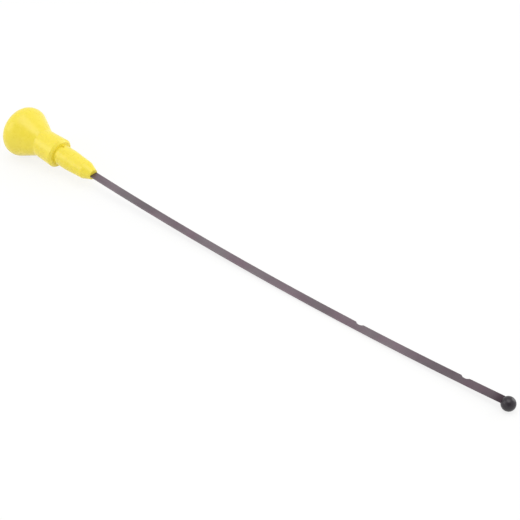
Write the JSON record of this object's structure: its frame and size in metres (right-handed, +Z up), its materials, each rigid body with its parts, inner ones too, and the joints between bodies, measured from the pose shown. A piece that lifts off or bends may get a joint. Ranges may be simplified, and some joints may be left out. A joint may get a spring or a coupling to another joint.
{
  "type": "engine oil dipstick",
  "caption": "Engine oil dipstick: a yellow knob with a flared skirt, collar and tapered plug, moulded over a bent dark steel blade with two scalloped level marks and a black ball tip.",
  "frame": {"origin": "on the floor, under the middle of the bounding box, with the dipstick lying as it comes to rest", "axes": "+X along the dipstick from the knob to the ball, +Y towards the notched edge of the blade, +Z up"},
  "size_m": [0.3228, 0.028, 0.0279],
  "materials": {
    "yellow_plastic": "moulded, satin gloss",
    "dark_steel": "spring steel strip, tempered to a plum brown",
    "black_nylon": "moulded, semi-gloss"
  },
  "bodies": {
    "root": {"handle": "yellow_plastic", "blade": "dark_steel", "ball_tip": "black_nylon"}
  },
  "joints": []
}
